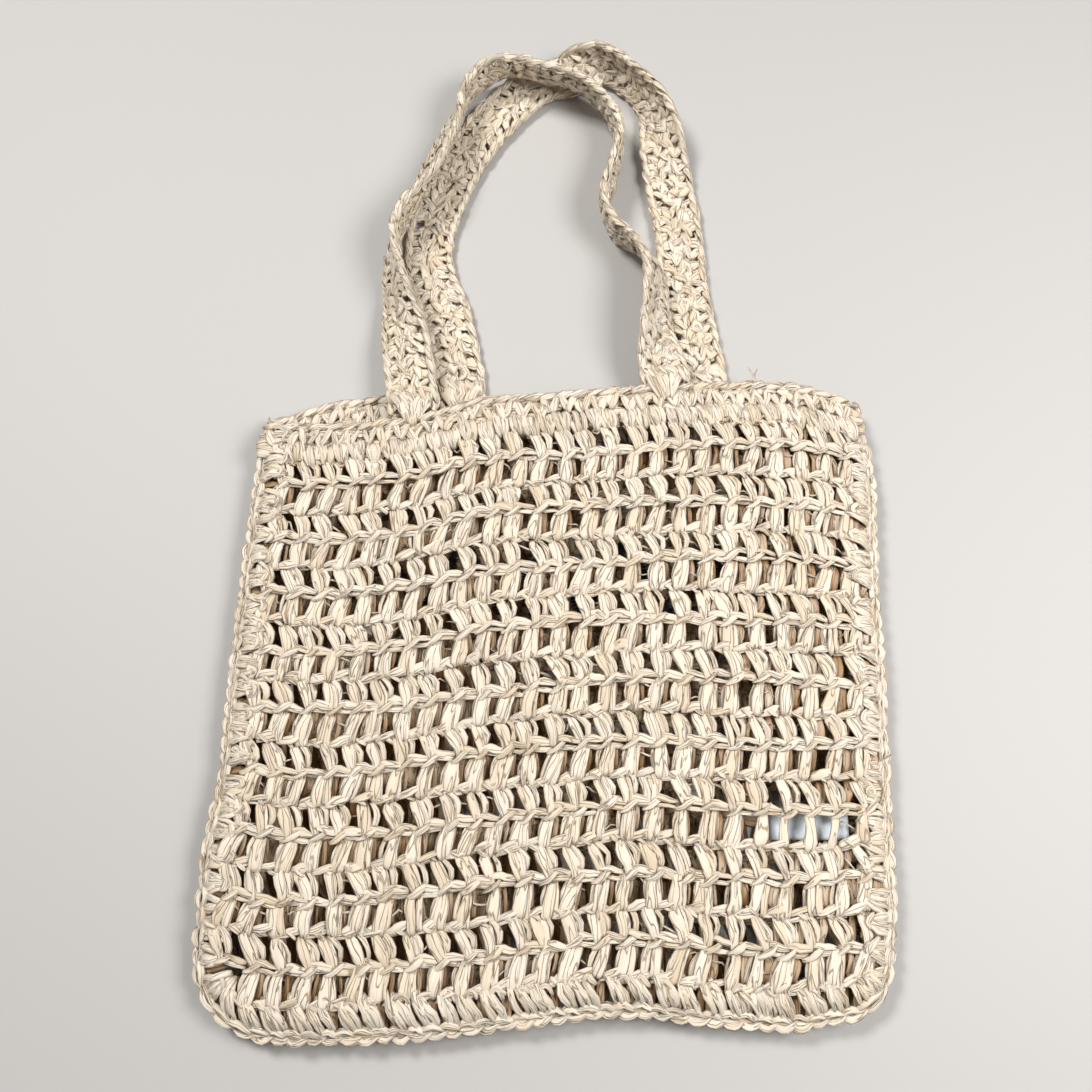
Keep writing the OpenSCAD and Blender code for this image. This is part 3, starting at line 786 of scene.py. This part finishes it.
UNDERLAY = [(0.0, -19.5, -2.4, 3.6), (0.0, -12.0, -1.6, 5.4), (0.0, -4.0, -1.4, 4.8)]


def seam_wraps(name, start, end, node, shape):
    """Stitches that join the two panels: shells at the sides, leaning clusters at the bottom."""
    straw = Straw()
    for rim, side in ((FRONT_RIM_BOW, 1), (BACK_RIM_BOW, -1)):
        surface = seam_surface(rim, side)
        count = int(round((end - start) / SHELL_PITCH))
        s = start + (np.arange(count) + 0.5) * (end - start) / count
        s = s + wobble(count, 1.1)
        at = np.stack([s, 0 * s], -1)
        for rows in shape:
            straw.lay(surface, at, rows, thick=1.9, loose=0.8)
        straw.lay(surface, at + [0.4, 0], KNOT, loose=0.9)
        for shift in (0, SHELL_PITCH / 2):
            straw.lay(surface, at + [shift, 0], UNDERLAY, thick=2.2)
    straw.make(name, RAFFIA_BAND, "bag", [node])


LEFT_END = SEAM_S[np.argmax(OUTER_LINE[:, 1] < 10)]
RIGHT_START = SEAM_S[len(OUTER_LINE) - 1 - np.argmax(OUTER_LINE[::-1, 1] < 5)]
seam_wraps("left_side_stitches", 2.0, LEFT_END, "left_side_wraps", SHELL)
seam_wraps("bottom_stitches", LEFT_END, RIGHT_START, "bottom_wraps", CLUSTER)
seam_wraps("right_side_stitches", RIGHT_START, SEAM_LENGTH - 2.0, "right_side_wraps", SHELL)

edge = Straw()
linked(edge, seam_surface(FRONT_RIM_BOW, 1), 1.0, SEAM_LENGTH - 1.0, -3.1, 0.4, EDGE_BRAID_PITCH)
edge.make("edge_braid", RAFFIA_BAND, "bag", ["edge_chain"])


# ---------------------------------------------------------------- handles
HANDLE_PITCH = 9.1
BLEND_FROM, BLEND_TO = 3.0, 24.0  # two heights above the line through a handle's ends
FILL_SHARE = {1: 0.62, -1: 0.8}  # part of the edge stitches that are doubled, on either edge
CROSS_SHARE = 0.5  # part of the stitches with a strand across the middle


def handle(kind, route, slope, cup, body):
    """One handle: stitches on both faces and a braid on each edge."""
    line = Handle(route, slope)
    count = int(round(line.length / HANDLE_PITCH))
    s = (np.arange(count) + 0.5) * line.length / count
    at = np.stack([s, 0 * s], -1)
    foot_mid = (line.centre[0] + line.centre[-1]) / 2
    across = unit(line.centre[-1] - line.centre[0])
    up_bag = np.array([-across[1], across[0], 0])
    low, high = (foot_mid + up_bag * BLEND_FROM) * MM, (foot_mid + up_bag * BLEND_TO) * MM
    moves = ("bag", body, tuple(low), tuple(high))
    straw = Straw()
    for side in (1, -1):
        face = line.surface(side, cup)
        for e in (1, -1):
            straw.lay(face, at, [(-1.8, 12.6 * e, 0.3, 3.4), (-0.8, 10.2 * e, 1.5, 5.0),
                                 (1.0, 7.4 * e, 1.8, 5.6), (2.2, 5.0 * e, 0.8, 3.8)], thick=1.8, loose=0.8)
            filled = at[rng.random(len(at)) < FILL_SHARE[e]] + [4.5, 0]
            straw.lay(face, filled, [(1.6, 12.8 * e, 0.3, 3.4), (0.4, 10.0 * e, 1.4, 4.8),
                                     (-0.8, 7.2 * e, 1.5, 4.8), (-1.6, 5.0 * e, 0.4, 3.6)], loose=0.8)
            crossed = at[rng.random(len(at)) < CROSS_SHARE]
            straw.lay(face, crossed, [(-2.6, 3.6 * e, 1.2, 2.6), (-0.6, 1.2 * e, 3.0, 3.8),
                                      (1.4, -1.4 * e, 3.0, 3.8), (2.6, -3.4 * e, 1.0, 2.6)], loose=0.9)
            straw.lay(face, at + [4.4 * (e > 0), 0],
                      [(-5.0 * e, 7.0 * e, 0.6, 3.0), (-1.8 * e, 5.8 * e, 2.0, 4.8),
                       (2.4 * e, 4.0 * e, 2.2, 4.8), (5.0 * e, 3.0 * e, 0.9, 3.0)], thick=1.8, loose=0.95)
            straw.lay(face, at + [4.4 * (e > 0), 0],
                      [(-5.0 * e, 0.4 * e, 0.6, 3.0), (-1.8 * e, 1.4 * e, 2.0, 4.8),
                       (2.4 * e, 3.0 * e, 2.2, 4.8), (5.0 * e, 3.8 * e, 0.9, 3.0)], thick=1.8, loose=0.95)
    core = line.surface(1, cup)
    for q in (-3.4, 3.4):
        straw.lay(core, at, [(-6.5, q, 0, 4.5), (-2, q, 0.2, 6.6), (2, q, -0.2, 6.6), (6.5, q, 0, 4.5)],
                  thick=4.4, loose=0.5)
    straw.make(f"{kind}_handle_stitches", RAFFIA_HANDLE, moves, [f"{kind}_handle"])
    for label, q in (("outer", -13.2), ("inner", 13.2)):
        chain = Straw()
        braid(chain, core, 0.5, line.length - 0.5, q, 0.0, HANDLE_PITCH, 1.6, 4.4, thick=1.9)
        chain.make(f"{kind}_handle_{label}_braid", RAFFIA_HANDLE, moves, [f"{kind}_handle_{label}_chain"])


FRONT_FEET = FRONT_ROUTE[0][:2], FRONT_ROUTE[-1][:2]
BACK_FEET = BACK_ROUTE[0][:2], BACK_ROUTE[-1][:2]
FRONT_SLOPE = math.atan2(FRONT_FEET[1][1] - FRONT_FEET[0][1], FRONT_FEET[1][0] - FRONT_FEET[0][0])
FRONT_CUP = [0.5, 1.5, 3.5, 4.5, 3.0, 3.0, 3.5, 1.5, 0.5, 0.5, 1.5, 3.0, 1.0]
BACK_CUP = [0.5, 0.5, 0.8, 0.8, 0.8, 2.5, 4.0, 4.0, 2.0, 0.8, 0.5, 0.5]
handle("front", FRONT_ROUTE, FRONT_SLOPE, FRONT_CUP, "front_handle_body")
handle("back", BACK_ROUTE, 0.0, BACK_CUP, "back_handle_body")


FOOT_SINK = 1.0  # how far a foot lies below the face of its panel


def foot_fan(name, foot, z, turn, node):
    """Strands that spread like petals from one point of the band into the end of a handle."""
    straw = Straw()
    x, y = foot

    def surface(p):
        c, s = math.cos(turn), math.sin(turn)
        px, py = p[..., 0], p[..., 1]
        return np.stack([x + px * c - py * s, y + px * s + py * c, z + p[..., 2]], -1)

    for petal in range(7):
        t = (petal - 3) / 3
        rows = [(t * 12.0, 5.5, -0.4, 3.2), (t * 11.0, 1.0, 1.6, 4.8), (t * 8.6, -4.5, 2.3, 5.2),
                (t * 5.2, -10.0, 1.9, 4.4), (t * 3.0, -14.5, 0.0, 2.6)]
        straw.lay(surface, [(0, 0)], rows, thick=1.9, loose=0.8)
    for petal in range(5):
        t = (petal - 2) / 2
        rows = [(t * 10.0 - 3.0, 6.5, 0.4, 3.0), (t * 10.0 - 1.0, 3.5, 2.3, 4.4),
                (t * 9.5 + 1.2, 0.0, 2.4, 4.4), (t * 8.5 + 2.6, -3.0, 0.9, 3.0)]
        straw.lay(surface, [(0, 0)], rows, thick=1.8, loose=0.8)
    straw.make(name, RAFFIA_BAND, "bag", [node])


for end, foot in zip(("left", "right"), FRONT_FEET):
    foot_fan(f"front_{end}_foot_fan", foot, BAG_T - FOOT_SINK, FRONT_SLOPE, f"front_{end}_foot")
for end, foot in zip(("left", "right"), BACK_FEET):
    foot_fan(f"back_{end}_foot_fan", foot, PANEL_T - FOOT_SINK, 0.0, f"back_{end}_foot")


# ---------------------------------------------------------------- label, motif and loose ends
LABEL_SHIFT = 0.006  # metres further into the bag than the plain part, to show through the gaps
LABEL_EXTRA = 4.5 * MM  # how much longer it is than the plain part
LABEL_LOW, LABEL_LIFT = 0.0006, 0.0052  # height of the free end, and how much higher the held end is
LABEL_WAVE = 0.0003
TAPE_T = 0.0004


def care_label():
    """Blank tape label: held up at its right end by the seam, its free end lying on the panel."""
    low, high = (np.array(c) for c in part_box("care_label"))
    columns, rows = 22, 10
    bpy.ops.object.select_all(action="DESELECT")
    bpy.ops.mesh.primitive_grid_add(x_subdivisions=columns, y_subdivisions=rows, size=1.0)
    piece = bpy.context.object
    piece.name = piece.data.name = "blank_care_label"
    length, width = high[0] - low[0] + LABEL_EXTRA, high[1] - low[1]
    for v in piece.data.vertices:
        u, w = v.co.x + 0.5, v.co.y + 0.5
        rise = LABEL_LOW + LABEL_LIFT * u + LABEL_WAVE * math.sin(7 * u + 2 * w)
        v.co = (low[0] - LABEL_SHIFT + u * length, low[1] + w * width, low[2] + rise)
    solid = piece.modifiers.new("tape", "SOLIDIFY")
    solid.thickness = TAPE_T
    bpy.ops.object.modifier_apply(modifier=solid.name)
    bpy.ops.object.shade_smooth()
    piece.data.materials.append(woven_label())
    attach(piece, "label")
    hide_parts("care_label")


care_label()

SEAM_STITCH_PITCH = 3.4
seam = Straw()
seam_low, seam_high = (np.array(c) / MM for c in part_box("label_seam"))


def label_seam_surface(p):
    return np.stack([seam_low[0] + p[..., 0], seam_low[1] + p[..., 1], seam_low[2] + p[..., 2]], -1)


rows_up = np.arange(1.5, seam_high[1] - seam_low[1], SEAM_STITCH_PITCH)
seam.lay(label_seam_surface, np.stack([0 * rows_up, rows_up], -1),
         [(-1.0, 0, 1.4, 1.4), (1.5, 0.5, 2.6, 2.4), (4.0, 0.8, 1.6, 2.6), (6.5, 1.0, 0, 1.8)], thick=1.2)
seam.make("label_seam_stitches", RAFFIA_BAND, "bag", ["label_seam"])

motif = Straw()
PEAKS = 11
MOTIF_STITCHES = 26  # satin stitches along each stroke
MOTIF_LEFT, MOTIF_RIGHT, MOTIF_Y, MOTIF_RISE = -126.0, 138.0, -61.0, 44.0
MOTIF_LIFT = 1.2


def motif_surface(p):
    return np.stack([p[..., 0], p[..., 1], PANEL_T + MOTIF_LIFT + p[..., 2]], -1)


stroke = (MOTIF_RIGHT - MOTIF_LEFT) / PEAKS
for peak in range(PEAKS):
    way = 1 if peak % 2 == 0 else -1
    t = (np.arange(MOTIF_STITCHES) + 0.5) / MOTIF_STITCHES
    y = MOTIF_Y - way * MOTIF_RISE / 2 + way * t * MOTIF_RISE
    at = np.stack([MOTIF_LEFT + (peak + t) * stroke, y], -1)
    motif.lay(motif_surface, at, [(-3.6, -0.5, -0.5, 0.9), (-1.8, -0.2, 0.6, 1.7), (0, 0, 0.9, 1.9),
                                  (1.8, 0.2, 0.6, 1.7), (3.6, 0.5, -0.5, 0.9)], thick=0.9, loose=0.12)
motif.make("black_satin_zigzag", satin_thread(), "bag", ["black_motif"])


tail = Straw()
TAIL_X, TAIL_Y, TAIL_LIFT = 122.0, 59.8, 0.8
LONG_END = [(0.5, -2, 0, 1.6), (0.2, 2, 0.8, 1.8), (-1.6, 6, 1.6, 1.5), (-3.6, 9.5, 2.6, 0.8)]
SHORT_END = [(1.2, -2, 0, 1.2), (0.6, 2.5, 0.2, 1.4), (0.9, 5.5, 1.0, 1.0), (2.2, 8.0, 2.4, 0.6)]


def tail_surface(p):
    z = FRONT_Z + PANEL_T / 2 + TAIL_LIFT + p[..., 2]
    return np.stack([TAIL_X + p[..., 0], TAIL_Y + p[..., 1], z], -1)


tail.lay(tail_surface, [(0, 0)], LONG_END, thick=0.7, loose=0.1)
tail.lay(tail_surface, [(0, 0)], SHORT_END, thick=0.6, loose=0.1)
tail.make("loose_straw_tail", RAFFIA_BAND, "bag", ["yarn_tail"])


# ---------------------------------------------------------------- floor, light and camera
FLOOR_SIZE = 8.0
FLOOR_Z = -0.0012  # a little below zero, because the lowest straw hangs below the plain part


def floor():
    """Plain pale floor for the bag to lie on."""
    bpy.ops.object.select_all(action="DESELECT")
    bpy.ops.mesh.primitive_plane_add(size=FLOOR_SIZE, location=(0, 0, FLOOR_Z))
    plane = bpy.context.object
    plane.name = "floor"
    material = bpy.data.materials.new("pale_floor")
    _, shader = nodes_of(material)
    shader.inputs["Base Color"].default_value = (0.50, 0.49, 0.48, 1)
    shader.inputs["Roughness"].default_value = 0.6
    plane.data.materials.append(material)


floor()


def look_at(eye, aim):
    """Turn of a lamp at eye that faces aim."""
    return (Vector(aim) - Vector(eye)).to_track_quat("-Z", "Y").to_euler()


def area_light(name, place_at, aim, size, power, colour):
    data = bpy.data.lights.new(name, "AREA")
    data.size = size
    data.energy = power
    data.color = colour
    lamp = bpy.data.objects.new(name, data)
    lamp.location = place_at
    lamp.rotation_euler = look_at(place_at, aim)
    bpy.context.scene.collection.objects.link(lamp)


area_light("window_left", place_at=(-0.95, 0.75, 1.75), aim=(0, 0, 0), size=0.55, power=34.0,
           colour=(1.0, 0.98, 0.95))
area_light("fill_right", place_at=(1.3, -0.5, 1.5), aim=(0, 0, 0), size=1.2, power=6.0,
           colour=(1.0, 0.985, 0.96))
area_light("lamp_right", place_at=(0.72, -0.1, 1.0), aim=(0.2, -0.1, 0), size=0.5, power=10.5,
           colour=(1.0, 0.985, 0.965))
ROOM_COLOUR = (1.0, 0.965, 0.92, 1)
ROOM_STRENGTH = 0.21
world = bpy.data.worlds.new("soft_room")
bpy.context.scene.world = world
world.use_nodes = True
background = world.node_tree.nodes["Background"]
background.inputs["Color"].default_value = ROOM_COLOUR
background.inputs["Strength"].default_value = ROOM_STRENGTH
bpy.context.scene.view_settings.view_transform = "Standard"

CAMERA_AT = (-0.005, -0.222, 0.605)
CAMERA_TILT = math.radians(16.8)
SENSOR_WIDTH = 36.0
LENS = 34.7
camera_data = bpy.data.cameras.new("camera")
camera_data.sensor_width = SENSOR_WIDTH
camera_data.lens = LENS
camera = bpy.data.objects.new("camera", camera_data)
camera.location = CAMERA_AT
camera.rotation_euler = (CAMERA_TILT, 0, 0)
bpy.context.scene.collection.objects.link(camera)
bpy.context.scene.camera = camera
